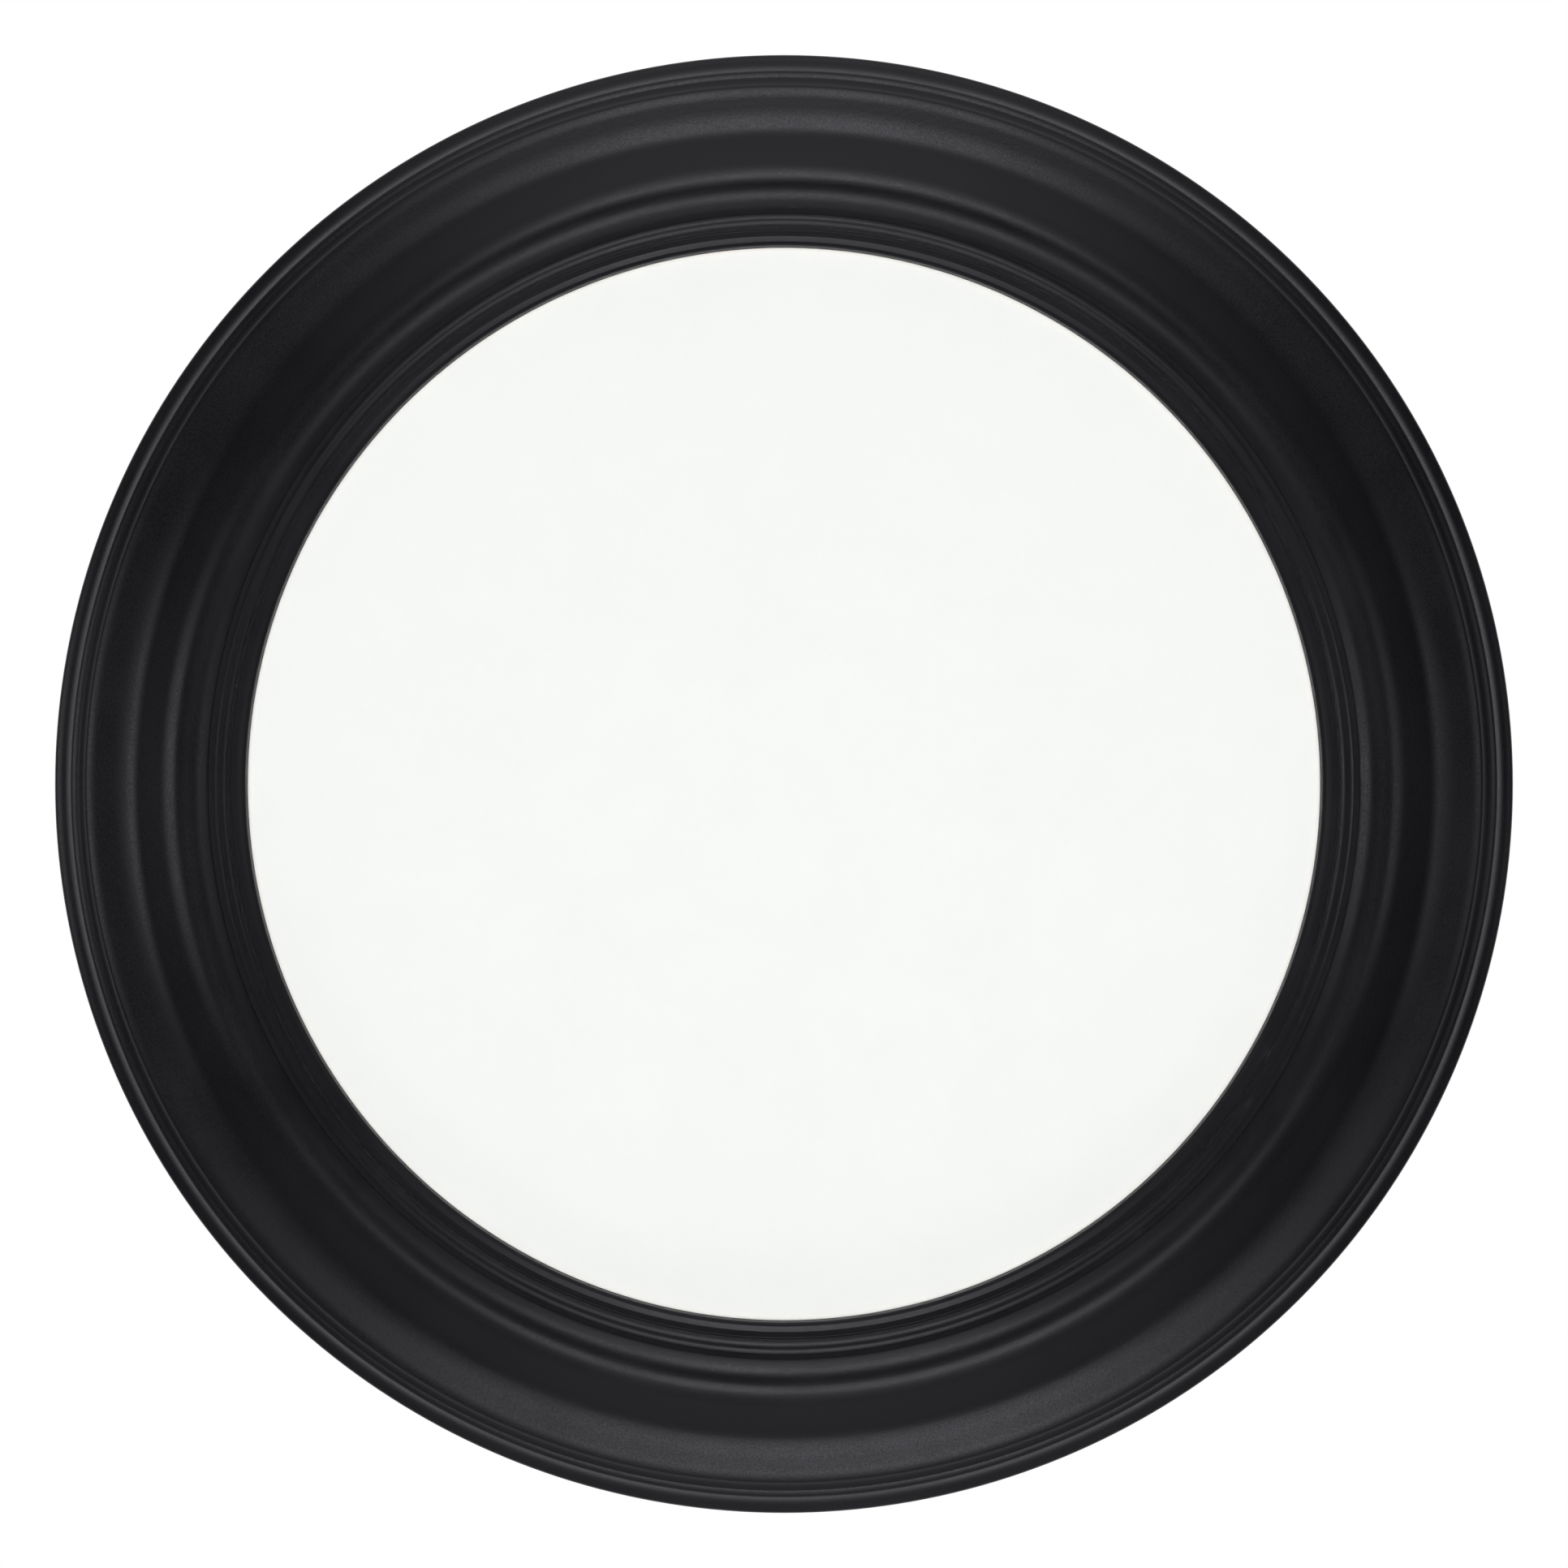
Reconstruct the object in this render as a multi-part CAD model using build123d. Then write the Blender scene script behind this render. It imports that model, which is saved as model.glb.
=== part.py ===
from build123d import *
import os
from math import cos, radians, sin, tan

# Round photo frame: a turned ring of glued wooden arcs, with glass, a sheet for the picture,
# boards and turn buttons in its back, and a D-ring hanger and two bumpers for the wall.
# Everything is modelled as it lies face down on a bench, back upwards, with the ring's centre at
# the origin, the ring's back at z = 0 and the frame's top along +Y. hang() then stands it up:
# +Z is up, the front faces -Y and the wall is on the +Y side. The finished part's origin is where
# a wall hook bears, inside the top of the D-ring. Millimetres and degrees throughout.

# The picture and what is stacked with it in the rabbet, from the front to the back
PRINT_DIAMETER = 304.8
GLASS_THICKNESS = 2.0
GLASS_SEAM = 0.3
SHEET_THICKNESS = 0.3
FILLER_THICKNESS = 5.0
BACKING_THICKNESS = 3.0

# The rabbet and the lip that holds the glass
RABBET_CLEARANCE = 1.6
LIP_OVERLAP = 6.35
LIP_THICKNESS = 9.2

# The moulding's front climbs in steps from the sight edge to a crest. Widths are across the ring.
SIGHT_NOSE = 0.35
SIGHT_QUIRK = 0.75
SIGHT_BEAD_WIDTH = 1.4
SIGHT_BEAD_FOOT_SLOPE = 27.0
SIGHT_BEAD_TOP_SLOPE = 22.0
TREAD_SLOPE = 7.0
LOWER_STEP_TREAD = 1.5
LOWER_STEP_RISE = 0.85
UPPER_STEP_TREAD = 0.6
UPPER_STEP_RISE = 0.7
FILLET_ROUND_WIDTH = 2.1
FILLET_ROUND_SLOPE = 52.0
FILLET_TOP_WIDTH = 1.45
FILLET_TOP_SLOPE = 8.0
FILLET_EDGE_SLOPE = 40.0
GROOVE_WIDTH = 1.7
GROOVE_DEPTH = 0.8
GROOVE_SLOPE = 6.0
SHOULDER_WALL = 0.9
SHOULDER_FOOT_WIDTH = 2.0
SHOULDER_FOOT_SLOPE = 36.0
SHOULDER_WIDTH = 4.45
SHOULDER_SLOPE = 31.0

# From the crest it falls outwards in one long ogee, and then in two coves to the outer edge.
CREST_WIDTH = 2.9
CREST_SLOPE = 22.0
BROW_WIDTH = 3.95
FLANK_WIDTH = 5.7
FLANK_SLOPE = 40.0
HOLLOW_WIDTH = 3.7
HOLLOW_SLOPE = 19.5
APRON_WIDTH = 5.4
REST_WIDTH = 2.45
REST_SLOPE = 7.5
OVOLO_WIDTH = 2.85
OVOLO_SLOPE = 24.0
ARRIS_WIDTH = 1.0
UPPER_COVE_WIDTH = 2.1
UPPER_COVE_STEEP_SLOPE = 53.0
UPPER_COVE_FOOT_SLOPE = 30.0
LEDGE_WIDTH = 1.15
LEDGE_SLOPE = 12.0
LEDGE_EDGE_SLOPE = 26.0
LOWER_COVE_WIDTH = 3.2
LOWER_COVE_STEEP_SLOPE = 66.0
LOWER_COVE_FOOT_SLOPE = 28.0
OUTER_BEVEL_WIDTH = 0.55
OUTER_ROUND_WIDTH = 0.8
BACK_BEVEL = 0.8

# Glued joints of the ring: loose splines in slots cut across them
ARC_COUNT = 8
SPLINE_SETBACK = 11.0
SPLINE_WIDTH = 22.0
SPLINE_LENGTH = 26.0
SPLINE_THICKNESS = 3.2
SPLINE_DEPTH = 4.5
SPLINE_CLEARANCE = 0.1

# Pan-head wood screws for the turn buttons and the hanger
SCREW_DIAMETER = 2.9
SCREW_LENGTH = 10.0
SCREW_TIP = 3.0
HEAD_DIAMETER = 5.8
HEAD_HEIGHT = 2.0
HEAD_EDGE = 0.9
RECESS_SPAN = 3.2
RECESS_WIDTH = 0.8
RECESS_DEPTH = 1.2
PILOT_CLEARANCE = 0.05
PILOT_EXTRA = 0.5

# Turn buttons that hold the backing board in
BUTTON_COUNT = 6
BUTTON_SETBACK = 7.0
BUTTON_THICKNESS = 0.9
BUTTON_WIDTH = 9.0
BUTTON_REACH = 20.0
BUTTON_TAB_LENGTH = 5.0
BUTTON_TAB_ANGLE = 25.0
BUTTON_PLAY = 0.05
RUNNING_CLEARANCE = 0.08

# Strap hanger at the top of the back
RING_WIRE = 2.4
RING_INNER_WIDTH = 14.0
RING_CORNER = 2.4
RING_SIDE = 0.6
RING_EDGE_SETBACK = 14.0
STRAP_SHEET = 0.8
STRAP_WIDTH = 10.0
STRAP_LENGTH = 21.0
STRAP_CORNER = 3.0
STRAP_FIRST_SCREW = 8.0
STRAP_SCREW_SPACING = 8.5
STRAP_HOLE_CLEARANCE = 0.15

# Bumpers at the foot of the back
BUMPER_DIAMETER = 10.0
BUMPER_HEIGHT = 5.0
BUMPER_SIDE = 2.4
BUMPER_FACE = 5.6
BUMPER_SETBACK = 18.0
BUMPER_SPREAD = 45.0


class MouldingPen:
    """Draws the moulding's front member by member, outwards from where it is set down.

    Places are a radius from the ring's axis and a height from the ring's back to the front.
    """

    def __init__(self, radius, height):
        self.radius = radius
        self.height = height
        self.edges = []

    def place(self, out=0.0, up=0.0):
        return Vector(self.radius + out, 0, -(self.height + up))

    def move(self, out, up, *edges):
        self.edges.extend(edges)
        self.radius += out
        self.height += up

    def line(self, out, up):
        self.move(out, up, Line(self.place(), self.place(out, up)))

    def bevel(self, out, slope):
        """A straight slope, in degrees above level."""
        self.line(out, out * tan(radians(slope)))

    def sweep(self, out, start, end):
        """A round that sets off at one slope and ends at another, in degrees above level."""
        up = out * tan(radians((start + end) / 2))
        heading = (cos(radians(start)), 0, -sin(radians(start)))
        self.move(out, up, TangentArc(self.place(), self.place(out, up), tangent=heading))


# Places that several pieces share
print_radius = PRINT_DIAMETER / 2
rabbet_depth = GLASS_THICKNESS + SHEET_THICKNESS + FILLER_THICKNESS + BACKING_THICKNESS
rabbet_radius = print_radius + RABBET_CLEARANCE
sight_radius = print_radius - LIP_OVERLAP
screw_radius = SCREW_DIAMETER / 2

button_underside = BUTTON_PLAY
button_head_seat = button_underside + BUTTON_THICKNESS + BUTTON_PLAY
button_circle = rabbet_radius + BUTTON_SETBACK
button_turns = [360 / BUTTON_COUNT * index for index in range(BUTTON_COUNT)]


def moulding_section():
    """The section of the ring: front members, outer wall, back and rabbet."""
    pen = MouldingPen(sight_radius, rabbet_depth)
    pen.line(0, LIP_THICKNESS - SIGHT_NOSE)
    pen.sweep(SIGHT_NOSE, 90, 0)
    pen.line(SIGHT_QUIRK, 0)
    pen.sweep(SIGHT_BEAD_WIDTH, SIGHT_BEAD_FOOT_SLOPE, SIGHT_BEAD_TOP_SLOPE)
    pen.bevel(LOWER_STEP_TREAD, TREAD_SLOPE)
    pen.line(0, LOWER_STEP_RISE)
    pen.bevel(UPPER_STEP_TREAD, TREAD_SLOPE)
    pen.line(0, UPPER_STEP_RISE)
    pen.sweep(FILLET_ROUND_WIDTH, FILLET_ROUND_SLOPE, FILLET_TOP_SLOPE)
    pen.sweep(FILLET_TOP_WIDTH, FILLET_TOP_SLOPE, FILLET_EDGE_SLOPE)
    pen.line(0, -GROOVE_DEPTH)
    pen.bevel(GROOVE_WIDTH, GROOVE_SLOPE)
    pen.line(0, SHOULDER_WALL)
    pen.sweep(SHOULDER_FOOT_WIDTH, SHOULDER_FOOT_SLOPE, SHOULDER_SLOPE)
    pen.sweep(SHOULDER_WIDTH, SHOULDER_SLOPE, 0)
    pen.sweep(CREST_WIDTH, 0, -CREST_SLOPE)
    pen.sweep(BROW_WIDTH, -CREST_SLOPE, -FLANK_SLOPE)
    pen.bevel(FLANK_WIDTH, -FLANK_SLOPE)
    pen.sweep(HOLLOW_WIDTH, -FLANK_SLOPE, -HOLLOW_SLOPE)
    pen.sweep(APRON_WIDTH, -HOLLOW_SLOPE, -REST_SLOPE)
    pen.bevel(REST_WIDTH, -REST_SLOPE)
    pen.sweep(OVOLO_WIDTH, -REST_SLOPE, -OVOLO_SLOPE)
    pen.sweep(ARRIS_WIDTH, -OVOLO_SLOPE, -UPPER_COVE_STEEP_SLOPE)
    pen.sweep(UPPER_COVE_WIDTH, -UPPER_COVE_STEEP_SLOPE, -UPPER_COVE_FOOT_SLOPE)
    pen.sweep(LEDGE_WIDTH, -LEDGE_SLOPE, -LEDGE_EDGE_SLOPE)
    pen.sweep(ARRIS_WIDTH, -LEDGE_EDGE_SLOPE, -LOWER_COVE_STEEP_SLOPE)
    pen.sweep(LOWER_COVE_WIDTH, -LOWER_COVE_STEEP_SLOPE, -LOWER_COVE_FOOT_SLOPE)
    pen.bevel(OUTER_BEVEL_WIDTH, -LOWER_COVE_FOOT_SLOPE)
    pen.sweep(OUTER_ROUND_WIDTH, -LOWER_COVE_FOOT_SLOPE, -90)
    pen.line(0, BACK_BEVEL - pen.height)
    pen.line(-BACK_BEVEL, -BACK_BEVEL)
    pen.line(rabbet_radius - pen.radius, 0)
    pen.line(0, rabbet_depth)
    pen.line(sight_radius - rabbet_radius, 0)
    return make_face(pen.edges)


section = moulding_section()
outer_radius = section.bounding_box().max.X

ring_half_width = (RING_INNER_WIDTH + RING_WIRE) / 2
loop_bore = RING_WIRE / 2 + RUNNING_CLEARANCE
loop_radius = loop_bore + STRAP_SHEET
loop_from_centre = outer_radius - RING_EDGE_SETBACK
hook_from_loop = RING_CORNER + RING_SIDE + ring_half_width - RING_WIRE / 2
hook_from_centre = loop_from_centre + hook_from_loop
strap_thickness = 2 * STRAP_SHEET
strap_screws = [loop_from_centre - STRAP_FIRST_SCREW - STRAP_SCREW_SPACING * index for index in range(2)]


def around(distance, turn):
    """A place on the back, at a distance from the centre, turned from +X towards +Y."""
    return (distance * cos(radians(turn)), distance * sin(radians(turn)))


def upright_rod(radius, bottom, top):
    """A cylinder on the Z axis from one height to another."""
    return extrude(Plane.XY.offset(bottom) * Circle(radius), top - bottom)


def spline_blank(turn, clearance):
    """A loose spline, or with clearance the pocket for it, across the joint at this turn."""
    width = SPLINE_WIDTH + 2 * clearance
    length = SPLINE_LENGTH + 2 * clearance
    thickness = SPLINE_THICKNESS + 2 * clearance
    middle_radius = rabbet_radius + SPLINE_SETBACK + SPLINE_WIDTH / 2
    middle_height = -SPLINE_DEPTH - SPLINE_THICKNESS / 2
    blank = Box(width, length, thickness)
    return Rot(0, 0, turn) * (Pos(middle_radius, 0, middle_height) * blank)


def pilot_hole(place, head_seat):
    """The bore in the wood for a screw whose head sits at this height."""
    bore = upright_rod(screw_radius + PILOT_CLEARANCE, head_seat - SCREW_LENGTH - PILOT_EXTRA, 0)
    return Pos(*place) * bore


def moulding_arcs():
    """The ring's arcs, each with the halves of two spline pockets and its pilot holes."""
    span = 360 / ARC_COUNT
    joints = [span * (index + 0.5) for index in range(ARC_COUNT)]
    cuts = [spline_blank(turn, SPLINE_CLEARANCE) for turn in joints]
    cuts += [pilot_hole(around(button_circle, turn), button_head_seat) for turn in button_turns]
    cuts += [pilot_hole((0, height), strap_thickness) for height in strap_screws]
    arc = revolve(section, axis=Axis.Z, revolution_arc=span)
    return [Rot(0, 0, span * (index - 0.5)) * arc - cuts for index in range(ARC_COUNT)]


def screw(place, head_seat):
    """A pan-head screw with a cross recess, upright, its head's underside at head_seat."""
    head_radius = HEAD_DIAMETER / 2
    dome = TangentArc((0, 0, HEAD_HEIGHT), (head_radius, 0, HEAD_EDGE), tangent=(1, 0, 0))
    side = Polyline(
        (head_radius, 0, HEAD_EDGE),
        (head_radius, 0, 0),
        (screw_radius, 0, 0),
        (screw_radius, 0, SCREW_TIP - SCREW_LENGTH),
        (0, 0, -SCREW_LENGTH),
        (0, 0, HEAD_HEIGHT),
    )
    body = revolve(make_face([dome, *side.edges()]), axis=Axis.Z)
    recess_middle = HEAD_HEIGHT - RECESS_DEPTH / 2
    slot = Pos(0, 0, recess_middle) * Box(RECESS_SPAN, RECESS_WIDTH, RECESS_DEPTH)
    return Pos(*place, head_seat) * (body - slot - Rot(0, 0, 90) * slot)


def turn_button(turn):
    """A flat steel tab on its screw: round ends and a finger tab bent up at the tip."""
    tip_radius = BUTTON_WIDTH / 2
    bend = BUTTON_REACH - BUTTON_TAB_LENGTH
    along = Vector(cos(radians(BUTTON_TAB_ANGLE)), 0, sin(radians(BUTTON_TAB_ANGLE)))
    across = Vector(-along.Z, 0, along.X) * BUTTON_THICKNESS
    mitre = BUTTON_THICKNESS * sin(radians(BUTTON_TAB_ANGLE)) / (1 + along.X)
    under_bend = Vector(bend, 0, 0)
    tip = under_bend + along * (BUTTON_TAB_LENGTH / along.X)
    side = Polyline(
        (-tip_radius, 0, 0),
        under_bend,
        tip,
        tip + across,
        (bend - mitre, 0, BUTTON_THICKNESS),
        (-tip_radius, 0, BUTTON_THICKNESS),
        close=True,
    )
    sheet = extrude(make_face(side.edges()), BUTTON_WIDTH / 2, dir=(0, 1, 0), both=True)
    rise = tip.Z + BUTTON_THICKNESS
    middle = (BUTTON_REACH - tip_radius) / 2
    outline = Pos(middle, 0) * SlotOverall(BUTTON_REACH + tip_radius, BUTTON_WIDTH)
    hole = upright_rod(screw_radius + RUNNING_CLEARANCE, 0, BUTTON_THICKNESS)
    tab = (sheet & extrude(outline, rise)) - hole
    return Pos(*around(button_circle, turn), button_underside) * (Rot(0, 0, turn + 180) * tab)


def hanger_ring():
    """The D-ring, lying up along the back: bar, two bends, short sides and a half round."""
    bar_end = ring_half_width - RING_CORNER
    side_end = RING_CORNER + RING_SIDE
    path = Wire(
        [
            Line((-bar_end, 0), (bar_end, 0)),
            CenterArc((bar_end, RING_CORNER), RING_CORNER, -90, 90),
            Line((ring_half_width, RING_CORNER), (ring_half_width, side_end)),
            CenterArc((0, side_end), ring_half_width, 0, 180),
            Line((-ring_half_width, side_end), (-ring_half_width, RING_CORNER)),
            CenterArc((-bar_end, RING_CORNER), RING_CORNER, 180, 90),
        ]
    )
    start = Plane(origin=path @ 0, z_dir=path % 0)
    wire = sweep(start * Circle(RING_WIRE / 2), path=path)
    return Pos(0, loop_from_centre, loop_radius) * wire


def hanger_strap():
    """Steel strap folded round the D-ring's bar, its two leaves flat under the screws."""
    loop = Circle(loop_radius)
    tail = Rectangle(STRAP_LENGTH, strap_thickness)
    leaves = Pos(-STRAP_LENGTH / 2, strap_thickness / 2 - loop_radius) * tail
    side = loop + leaves - Circle(loop_bore)
    upright = Plane(origin=(0, loop_from_centre, loop_radius), x_dir=(0, 1, 0), z_dir=(1, 0, 0))
    strap = extrude(upright * side, STRAP_WIDTH / 2, both=True)
    corners = strap.edges().filter_by(Axis.Z).group_by(Axis.Y)[0]
    strap = fillet(corners, min(STRAP_CORNER, STRAP_WIDTH * 0.45))
    hole = upright_rod(screw_radius + STRAP_HOLE_CLEARANCE, 0, strap_thickness)
    return strap - [Pos(0, height) * hole for height in strap_screws]


def bumper(turn):
    """A round rubber bumper with a flat face, stuck to the back."""
    radius = BUMPER_DIAMETER / 2
    face_radius = BUMPER_FACE / 2
    shoulder = (radius, 0, BUMPER_SIDE)
    face_edge = (face_radius, 0, BUMPER_HEIGHT)
    round_over = TangentArc(shoulder, face_edge, tangent=(0, 0, 1))
    side = Polyline(face_edge, (0, 0, BUMPER_HEIGHT), (0, 0, 0), (radius, 0, 0), shoulder)
    body = revolve(make_face([round_over, *side.edges()]), axis=Axis.Z)
    return Pos(*around(outer_radius - BUMPER_SETBACK, turn)) * body


def picture_stack():
    """Glass, sheet, filler and backing, laid in the rabbet from its shelf to the ring's back."""
    layers = [
        ("glass_disc", GLASS_THICKNESS),
        ("photo_sheet", SHEET_THICKNESS),
        ("filler_board", FILLER_THICKNESS),
        ("backing_board", BACKING_THICKNESS),
    ]
    discs = {}
    bottom = -rabbet_depth
    for name, thickness in layers:
        discs[name] = upright_rod(print_radius, bottom, bottom + thickness)
        bottom += thickness
    glass = discs["glass_disc"]
    discs["glass_disc"] = chamfer(glass.edges(), GLASS_SEAM)
    return discs


def hang(shape):
    """Stands the frame up on its wall side and brings the hook's bearing point to the origin."""
    hook = (0, -loop_radius, -hook_from_centre)
    upright = Plane(origin=hook, x_dir=(-1, 0, 0), z_dir=(0, 1, 0))
    return upright.location * shape


def frame_nodes():
    """Every node of the frame by name, as it lies on the bench."""
    nodes = {f"moulding_arc_{index + 1}": arc for index, arc in enumerate(moulding_arcs())}
    joints = [360 / ARC_COUNT * (index + 0.5) for index in range(ARC_COUNT)]
    nodes["arc_splines"] = Compound([spline_blank(turn, 0) for turn in joints])
    nodes.update(picture_stack())
    for index, turn in enumerate(button_turns):
        nodes[f"turn_button_{index + 1}"] = turn_button(turn)
    screws = [screw(around(button_circle, turn), button_head_seat) for turn in button_turns]
    nodes["turn_button_screws"] = Compound(screws)
    nodes["hanger_strap"] = hanger_strap()
    nodes["hanger_ring"] = hanger_ring()
    nodes["hanger_screws"] = Compound([screw((0, height), strap_thickness) for height in strap_screws])
    feet = [270 - BUMPER_SPREAD, 270 + BUMPER_SPREAD]
    nodes["wall_bumpers"] = Compound([bumper(turn) for turn in feet])
    return nodes


os.makedirs("parts", exist_ok=True)
for name, shape in frame_nodes().items():
    export_step(hang(shape), f"parts/{name}.step")

print("outer radius", round(outer_radius, 3), "depth", round(-section.bounding_box().min.Z, 3))
print("ring centre below hook", round(hook_from_centre, 3), "in front", round(loop_radius, 3))
print("hinge below hook", round(hook_from_loop, 3), "button circle", round(button_circle, 3))
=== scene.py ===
from math import acos, atan2, cos, degrees, pi, radians, sin, tan

import bmesh
import bpy
from mathutils import Matrix, Vector


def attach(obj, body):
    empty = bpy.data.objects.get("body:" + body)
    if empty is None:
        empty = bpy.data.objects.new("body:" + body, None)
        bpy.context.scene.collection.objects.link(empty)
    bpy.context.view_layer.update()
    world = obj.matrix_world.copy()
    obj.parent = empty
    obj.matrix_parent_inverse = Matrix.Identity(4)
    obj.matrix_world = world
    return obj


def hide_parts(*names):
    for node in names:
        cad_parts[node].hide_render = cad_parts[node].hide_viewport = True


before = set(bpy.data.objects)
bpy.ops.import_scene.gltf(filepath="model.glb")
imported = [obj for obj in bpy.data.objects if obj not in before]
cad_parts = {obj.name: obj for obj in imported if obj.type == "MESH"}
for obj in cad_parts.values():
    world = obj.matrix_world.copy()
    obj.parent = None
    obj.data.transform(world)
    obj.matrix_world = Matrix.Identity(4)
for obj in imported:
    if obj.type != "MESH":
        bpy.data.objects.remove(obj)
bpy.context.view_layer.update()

# The moulded ring. Eight pine arcs are glued end to end over loose splines and turned on a lathe to
# one section: steps up from the sight edge to a crest, a long ogee outwards and two small coves.
# Front and edge are sprayed satin black, which hides the joints; the back and the rabbet stay bare.
MM = 0.001
RING_BACK_Y = -2.08 * MM
RING_CENTRE_Z = -195.1 * MM
SIGHT_RADIUS = 146.05
RABBET_RADIUS = 154.0
RABBET_DEPTH = 10.3
SIGHT_WALL = 8.85
BACK_BEVEL = 0.8
ARC_COUNT = 8
STEPS_PER_ARC = 40
EASED_CORNER = 0.07
EASE_STEPS = 3
MERGE = 0.0005

# Degrees: the turn of one step of a round, the turn past which a corner is eased and shaded sharp, the
# same for shading the ring, and the most by which level faces differ. A level face smaller than the
# last value, in square mm, is part of a round and is shaded smooth.
ROUND_STEP = 5.0
SHARP = 28.0
RING_CREASE = 11.0
LEVEL = 0.1
SMALL_FACE = 0.8

# Width in mm, then the slope where the member starts and where it ends, in degrees and rising
# outwards. A riser is straight up or down and has its height alone.
MOULDING = [
    ("sight nose", 0.35, 90, 0),
    ("sight quirk", 0.75, 0, 0),
    ("sight bead", 1.4, 27, 22),
    ("lower tread", 1.5, 7, 7),
    ("lower riser", 0.85),
    ("upper tread", 0.6, 7, 7),
    ("upper riser", 0.7),
    ("fillet round", 2.1, 52, 8),
    ("fillet top", 1.45, 8, 40),
    ("groove riser", -0.8),
    ("groove", 1.7, 6, 6),
    ("shoulder riser", 0.9),
    ("shoulder foot", 2.0, 36, 31),
    ("shoulder", 4.45, 31, 0),
    ("crest", 2.9, 0, -22),
    ("brow", 3.95, -22, -40),
    ("flank", 5.7, -40, -40),
    ("hollow", 3.7, -40, -19.5),
    ("apron", 5.4, -19.5, -7.5),
    ("rest", 2.45, -7.5, -7.5),
    ("ovolo", 2.85, -7.5, -24),
    ("upper arris", 1.0, -24, -53),
    ("upper cove", 2.1, -53, -30),
    ("ledge", 1.15, -12, -26),
    ("lower arris", 1.0, -26, -66),
    ("lower cove", 3.2, -66, -28),
    ("outer bevel", 0.55, -28, -28),
    ("outer round", 0.8, -28, -90),
]


class SectionPen:
    """Draws a turned piece's section as a wire, in mm out from its axis and up along it."""

    def __init__(self, out, up):
        self.mesh = bmesh.new()
        self.tip = self.mesh.verts.new((out * MM, 0, up * MM))

    def line(self, out, up):
        """A straight run by so much."""
        self.tip = bmesh.ops.extrude_vert_indiv(self.mesh, verts=[self.tip])["verts"][0]
        bmesh.ops.translate(self.mesh, verts=[self.tip], vec=(out * MM, 0, up * MM))

    def to(self, out, up):
        """A straight run to a place."""
        self.line(out - self.tip.co.x / MM, up - self.tip.co.z / MM)

    def sweep(self, out, start, end):
        """A run that starts at one slope and ends at another: a round, or straight if they are equal."""
        if start == end:
            self.line(out, out * tan(radians(start)))
            return
        first, turn = radians(start), radians(end - start)
        radius = out * MM / (sin(first + turn) - sin(first))
        centre = self.tip.co + radius * Vector((-sin(first), 0, cos(first)))
        steps = 2 + round(abs(end - start) / ROUND_STEP)
        spun = bmesh.ops.spin(
            self.mesh, geom=[self.tip], cent=centre, axis=(0, -1, 0), angle=turn, steps=steps
        )
        self.tip = spun["geom_last"][0]

    def ease(self, size):
        """Rounds the sharp corners, as sanding, plating or lacquer leaves them."""
        corners = []
        for vert in self.mesh.verts:
            arms = [edge.other_vert(vert).co - vert.co for edge in vert.link_edges]
            if len(arms) == 2 and pi - arms[0].angle(arms[1]) > radians(SHARP):
                corners.append(vert)
        bmesh.ops.bevel(
            self.mesh, geom=corners, offset=size * MM, offset_type="OFFSET", segments=EASE_STEPS,
            profile=0.5, affect="VERTICES", clamp_overlap=True, material=-1,
        )

    def turned(self, steps):
        """The section spun once round the axis, closed and facing outwards."""
        bmesh.ops.spin(
            self.mesh, geom=self.mesh.verts[:] + self.mesh.edges[:], cent=(0, 0, 0), axis=(0, 0, 1),
            angle=2 * pi, steps=steps, use_merge=True,
        )
        return closed(self.mesh)


def closed(mesh):
    """Merges doubles and turns the faces outwards."""
    bmesh.ops.remove_doubles(mesh, verts=mesh.verts[:], dist=MERGE * MM)
    bmesh.ops.recalc_face_normals(mesh, faces=mesh.faces[:])
    return mesh


def piece(name, mesh, place, materials, body, slot, *nodes, crease=SHARP):
    """Makes an object of a mesh, in place of its CAD nodes: curves shaded smooth, flats flat."""
    bmesh.ops.transform(mesh, matrix=place, verts=mesh.verts[:])
    for edge in mesh.edges:
        edge.smooth = edge.calc_face_angle(0) < radians(crease)
    for face in mesh.faces:
        flattest = min(edge.calc_face_angle(1) for edge in face.edges)
        level = len(face.verts) > 4 or flattest < radians(LEVEL)
        face.smooth = not level or face.calc_area() < SMALL_FACE * MM ** 2
    data = bpy.data.meshes.new(name)
    mesh.to_mesh(data)
    mesh.free()
    for material in materials:
        data.materials.append(material)
    made = bpy.data.objects.new(name, data)
    bpy.context.scene.collection.objects.link(made)
    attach(made, body)
    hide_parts(*nodes)


def linear(code):
    """An sRGB hex colour as linear red, green, blue and alpha."""
    parts = [int(code[place:place + 2], 16) / 255 for place in (1, 3, 5)]
    return [p / 12.92 if p <= 0.04045 else ((p + 0.055) / 1.055) ** 2.4 for p in parts] + [1.0]


def node(tree, kind, inputs=None, **settings):
    """Adds a shader node, sets its properties, and sets or links its inputs."""
    made = tree.nodes.new(kind)
    for name, value in settings.items():
        setattr(made, name, value)
    for name, value in (inputs or {}).items():
        if isinstance(value, bpy.types.NodeSocket):
            tree.links.new(value, made.inputs[name])
        else:
            made.inputs[name].default_value = value
    return made


def finish(name, **sockets):
    """A new material, its node tree, its shader and its Object coordinates."""
    material = bpy.data.materials.new(name)
    material.use_nodes = True
    tree = material.node_tree
    shader = tree.nodes["Principled BSDF"]
    for socket, value in sockets.items():
        shader.inputs[socket.replace("_", " ")].default_value = value
    return material, tree, shader, node(tree, "ShaderNodeTexCoord").outputs["Object"]


def per_mm(size):
    """A texture's scale for a pattern of this size in mm."""
    return 1 / (size * MM)


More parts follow.
